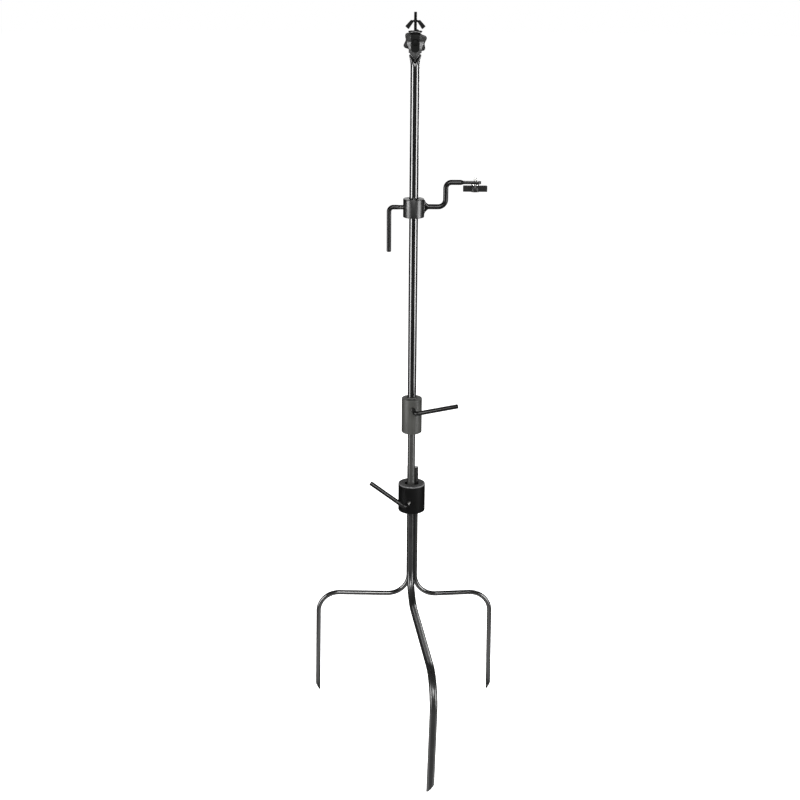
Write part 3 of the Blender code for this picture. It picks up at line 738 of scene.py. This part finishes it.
# ---------------------------------------------------------------- tilt head
def make_bracket():
    """Flat bar bent over the paddle as an upside-down U."""
    inner = PADDLE_HALF[1] + GAP
    outer = inner + 0.003
    half, rise, drop = 0.009, 0.0175, 0.020
    bend = 0.0028

    def arch(half_depth, roof, corner):
        points = [(-half_depth, -0.03)]
        for step in range(9):
            turn = pi / 2 * step / 8
            points.append((-half_depth + corner * (1 - cos(turn)), roof - corner * (1 - sin(turn))))
        for step in range(9):
            turn = pi / 2 * step / 8
            points.append((half_depth - corner * (1 - sin(turn)), roof - corner * (1 - cos(turn))))
        points.append((half_depth, -0.03))
        return points

    outline = arch(outer, rise, bend) + arch(inner, rise - 0.003, 0.0010)[::-1]
    rings = [[PIVOT + Vector((x, y, z)) for y, z in outline] for x in (-half, half)]
    bracket = skin("tilt_strap", rings)
    face = [(-half - 0.001, rise + 0.01), (half + 0.001, rise + 0.01), (half + 0.001, -(drop - half))]
    for step in range(33):
        turn = pi * step / 32
        face.append((half * cos(turn), -(drop - half) - half * sin(turn)))
    face.append((-half - 0.001, -(drop - half)))
    combine(bracket, slab("face", face, -0.02, 0.02, PIVOT), "INTERSECT")
    combine(bracket, turned("hole", [(BOLT_HOLE, -0.03), (BOLT_HOLE, 0.03)], PIVOT, (0, 1, 0), 40))
    combine(bracket, turned("hole", [(STUD_RADIUS + GAP, 0.008), (STUD_RADIUS + GAP, 0.03)], PIVOT, UP, 40))
    dress(bevel(bracket, 0.0005, 3, 50), "head", "black_paint", BLACK_DULL, "tilt_bracket")


def make_pivot_hardware():
    """Bolt, washer, lobed knob and its threaded insert, front to back along the tilt axis."""
    back = Vector((0, 1, 0))
    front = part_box("tilt_bolt")[0].y - PIVOT.y
    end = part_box("tilt_bolt")[1].y - PIVOT.y
    profile = []
    for step in range(9):
        turn = radians(12) + radians(78) * step / 8
        profile.append((0.0068 * sin(turn), front + 0.0026 * (1 - cos(turn)) * 0.9))
    profile += [(0.0068, front + 0.0026), (0.003, front + 0.0026), (0.003, end - 0.0006), (0.0025, end)]
    dress(turned("tilt_carriage_bolt", profile, PIVOT, back), "head", "black_paint", BLACK_DULL, "tilt_bolt")
    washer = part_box("tilt_washer")
    profile = collar_profile(BOLT_HOLE, (washer[1].x - washer[0].x) / 2, washer[0].y - PIVOT.y,
                             washer[1].y - PIVOT.y, 0.0002, 0.0004, 3)
    dress(turned("tilt_wide_washer", profile, PIVOT, back, 96, True), "head", "zinc", WASHER, "tilt_washer")
    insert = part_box("tilt_knob_insert")
    profile = collar_profile(BOLT_HOLE, 0.006, insert[0].y - PIVOT.y,
                             insert[1].y - PIVOT.y, 0.0003, 0.0003, 3)
    dress(turned("knob_insert", profile, PIVOT, back, 64, True), "knob", "brass", BRASS, "tilt_knob_insert")

    count = 192
    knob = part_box("tilt_knob")
    neck, end = knob[0].y - PIVOT.y, knob[1].y - PIVOT.y
    face = 0.0152
    seat, seat_depth = 0.0063, insert[0].y - PIVOT.y - GAP

    def outline(y, radius, lobe):
        points = []
        for index in range(count):
            turn = 2 * pi * index / count
            wave = cos(KNOB_LOBES * (turn - radians(21)))
            reach = radius + lobe * (wave + 0.12 * wave * wave)
            points.append(PIVOT + Vector((reach * cos(turn), y, reach * sin(turn))))
        return points

    rings = [outline(neck, BOLT_HOLE, 0), outline(neck, 0.0082, 0), outline(neck + 0.0004, 0.0086, 0),
             outline(face - 0.001, 0.0089, 0), outline(face, 0.0098, 0), outline(face, 0.0198, 0.0018)]
    edge = 0.0020
    for step in range(1, 8):
        turn = pi / 2 * step / 7
        rings.append(outline(face + edge * (1 - cos(turn)), KNOB_RADIUS - edge * (1 - sin(turn)), KNOB_LOBE))
    edge = 0.0034
    for step in range(9):
        turn = pi / 2 * step / 8
        rings.append(outline(end - edge * (1 - sin(turn)) - 0.0006, KNOB_RADIUS - edge * (1 - cos(turn)),
                             KNOB_LOBE - 0.0010 * step / 8))
    rings += [outline(end - 0.0007, 0.0165, 0.0003), outline(end - 0.0012, 0.0150, 0),
              outline(end - 0.0012, 0.0112, 0), outline(end - 0.0002, 0.0100, 0),
              outline(end, 0.0090, 0), outline(end, seat, 0),
              outline(seat_depth, seat, 0), outline(seat_depth, BOLT_HOLE, 0)]
    dress(skin("star_knob", rings, True, 45), "knob", "knob_plastic", KNOB, "tilt_knob")


def make_head_top():
    """Camera flange, threaded stud and the upside-down wing nut on it."""
    base, top = low("head_flange"), high("head_flange")
    rim = 0.0146
    profile = [(STUD_RADIUS + GAP, base), (0.0088, base), (0.0092, base + 0.0003), (0.0102, base + 0.0014),
               (0.0108, base + 0.0018), (rim - 0.0008, base + 0.0020), (rim - 0.0002, base + 0.0023),
               (rim, base + 0.0028), (rim, top - 0.0007), (rim - 0.0002, top - 0.0002), (rim - 0.0007, top),
               (rim - 0.0019, top), (rim - 0.0023, top - 0.0002), (rim - 0.0026, top - 0.0007),
               (STUD_RADIUS + GAP, top - 0.0007)]
    flange = turned("camera_flange", profile, MAST, segments=112, closed=True)
    dress(flange, "head", "black_paint", BLACK_SATIN, "head_flange")
    start = low("camera_stud")
    stud = threaded("camera_stud_thread", STUD_RADIUS, high("camera_stud") - start, MAST + UP * start, UP,
                    THREAD_PITCH, 0.0005)
    dress(stud, "head", "black_paint", STUD_BLACK, "camera_stud")

    hub_high = high("jam_wing_nut")
    hub_low = hub_high - 0.0040
    profile = [(STUD_RADIUS + GAP, hub_low), (0.0060, hub_low),
               (0.0066, hub_low + 0.0005), (0.0070, hub_low + 0.0012),
               (0.0066, hub_high - 0.0005), (0.0060, hub_high), (STUD_RADIUS + GAP, hub_high)]
    nut = turned("stud_wing_nut", profile, MAST, segments=72, closed=True)
    droop, length, half_width, half_thick = radians(50), 0.0192, 0.0046, 0.0016
    root = Vector((0.0052, 0, hub_high - 0.0008))
    for side in (-1, 1):
        outline = []
        for along, across in rounded([(0, -half_width), (length, -half_width), (length, half_width),
                                      (0, half_width)], 0.0014):
            x = max(0.0046, root.x + along * cos(droop) + across * sin(droop))
            z = min(root.z - along * sin(droop) + across * cos(droop), hub_high - 0.0001)
            outline.append((side * x, z))
        combine(nut, slab("ear", outline, -half_thick, half_thick, MAST), "UNION")
    dress(bevel(nut, 0.0006, 3, 50), "wing_nut", "black_paint", BLACK_DULL, "jam_wing_nut")


# ---------------------------------------------------------------- studio
def area_light(name, place, target, width, height, brightness):
    """A rectangular light of even brightness, hidden from the camera."""
    data = bpy.data.lights.new(name, "AREA")
    data.shape = "RECTANGLE"
    data.size, data.size_y = width, height
    data.energy = brightness * pi * width * height
    light = bpy.data.objects.new(name, data)
    light.location = place
    light.rotation_euler = (Vector(target) - Vector(place)).to_track_quat("-Z", "Y").to_euler()
    light.visible_camera = False
    bpy.context.scene.collection.objects.link(light)


def emissive(name, colour, share):
    """A surface that lights itself, so that it stays evenly pale."""
    material = bpy.data.materials.new(name)
    material.use_nodes = True
    shader = material.node_tree.nodes["Principled BSDF"]
    shader.inputs["Base Color"].default_value = (*colour, 1)
    shader.inputs["Roughness"].default_value = 0.9
    shader.inputs["Specular IOR Level"].default_value = 0.1
    shader.inputs["Emission Color"].default_value = (1, 1, 1, 1)
    shader.inputs["Emission Strength"].default_value = share
    return material


def make_floor():
    """A white floor that only the camera sees: it neither shades nor mirrors."""
    bpy.ops.mesh.primitive_circle_add(vertices=96, radius=30, fill_type="NGON", location=(0, 0, -0.0004))
    floor = bpy.context.object
    floor.name = "studio_floor"
    floor.data.materials.append(emissive("studio_white", (0.8, 0.8, 0.8), 1.0))
    floor.visible_glossy = False
    floor.visible_diffuse = False
    floor.visible_shadow = False


def make_world():
    """White behind the stand, and nearly dark all round it, so that the tubes have dark edges."""
    world = bpy.data.worlds.new("studio")
    bpy.context.scene.world = world
    world.use_nodes = True
    tree = world.node_tree
    tree.nodes.clear()
    path = tree.nodes.new("ShaderNodeLightPath")
    white = tree.nodes.new("ShaderNodeBackground")
    dim = tree.nodes.new("ShaderNodeBackground")
    mix = tree.nodes.new("ShaderNodeMixShader")
    out = tree.nodes.new("ShaderNodeOutputWorld")
    white.inputs["Color"].default_value = (1, 1, 1, 1)
    white.inputs["Strength"].default_value = 1.0
    dim.inputs["Color"].default_value = (1, 1, 1, 1)
    dim.inputs["Strength"].default_value = 0.02
    tree.links.new(path.outputs["Is Camera Ray"], mix.inputs["Fac"])
    tree.links.new(dim.outputs["Background"], mix.inputs[1])
    tree.links.new(white.outputs["Background"], mix.inputs[2])
    tree.links.new(mix.outputs["Shader"], out.inputs["Surface"])


def make_softboxes():
    """A tall softbox on each side, dimmer towards its foot, for the stripes along the tubes."""
    turn, distance, width = radians(63), 2.4, 0.92
    # name, bottom, top, brightness
    parts = (("softbox", 0.30, 1.45, 23), ("skirt", -0.25, 0.30, 12), ("glow", -1.8, -0.25, 1.4))
    for name, side in (("left", -1), ("right", 1)):
        out = Vector((side * sin(turn), -cos(turn), 0)) * distance
        for part, bottom, top, brightness in parts:
            middle = MAST + UP * (bottom + top) / 2
            area_light(f"{name}_{part}", middle + out, middle, width, top - bottom, brightness)


def make_fill_lights():
    """Light from above the camera, from behind, and back up from the floor in front."""
    area_light("front_top_light", MAST + Vector((0, -2.85, 2.35)), MAST + UP * 0.4, 1.7, 1.0, 32)
    area_light("back_top_light", MAST + Vector((0, 2.4, 1.88)), MAST + UP * 1.88, 3.0, 0.85, 2.0)
    for name, side, brightness in (("left", -1, 3.0), ("right", 1, 12.0)):
        place = MAST + Vector((side * 1.15, 2.6, 1.3))
        area_light(f"{name}_back_strip", place, MAST + UP * 0.4, 0.35, 0.9, brightness)
    for name, near, far, brightness in (("near", 0.05, 0.45, 1.5), ("far", 0.45, 2.2, 0.6)):
        place = MAST + Vector((0, -(near + far) / 2, -0.02))
        area_light(f"{name}_floor_bounce", place, place + UP, 0.85, far - near, brightness)


def make_camera():
    data = bpy.data.cameras.new("camera")
    data.sensor_width = 36
    data.lens = 60.16
    camera = bpy.data.objects.new("camera", data)
    pitch, yaw, roll = radians(18.389), radians(0.07), radians(0.382)
    place = Matrix.Translation((-0.0086, -2.6605, 1.6956))
    camera.matrix_world = (place @ Matrix.Rotation(yaw, 4, "Z") @ Matrix.Rotation(pi / 2 - pitch, 4, "X")
                           @ Matrix.Rotation(roll, 4, "Z"))
    data.clip_start, data.clip_end = 0.05, 100
    bpy.context.scene.collection.objects.link(camera)
    bpy.context.scene.camera = camera
    bpy.context.scene.view_settings.view_transform = "Standard"


# ---------------------------------------------------------------- the whole stand
make_camera()
make_floor()
make_world()
make_softboxes()
make_fill_lights()

make_lower_tube()
make_side_leg("left_leg", "left_leg_rod", "left_leg_turn",
              (-0.216, 0.018), (-0.221, 0.018), Vector((1, 0, 0)))
make_side_leg("right_leg", "right_leg_rod", "right_leg_turn",
              (0.189, 0.028), (0.192, 0.028), Vector((-1, 0, 0)))
make_leg_collar()
make_handle("leg_handle", "leg_clamp_handle", "leg_clamp_turn",
            lever_way("leg_clamp_turn", -1, LEG_LEVER_LEAN), LOWER_RADIUS, LEG_COLLAR_RADIUS)

make_mast()
make_mast_collar()
make_handle("mast_handle", "mast_clamp_handle", "mast_clamp_turn",
            lever_way("mast_clamp_turn", 1, MAST_LEVER_LEAN), LOWER_RADIUS, COLLAR_RADIUS)

make_arm_collar()
make_arm_rod()
make_arm_screw()
make_handle("arm_handle", "arm_clamp_handle", "arm_clamp_turn", -UP, LINER_RADIUS, COLLAR_RADIUS)

make_bracket()
make_pivot_hardware()
make_head_top()

frame["nodes"]["lower_tube_plug"].data.materials.clear()
frame["nodes"]["lower_tube_plug"].data.materials.append(NYLON)
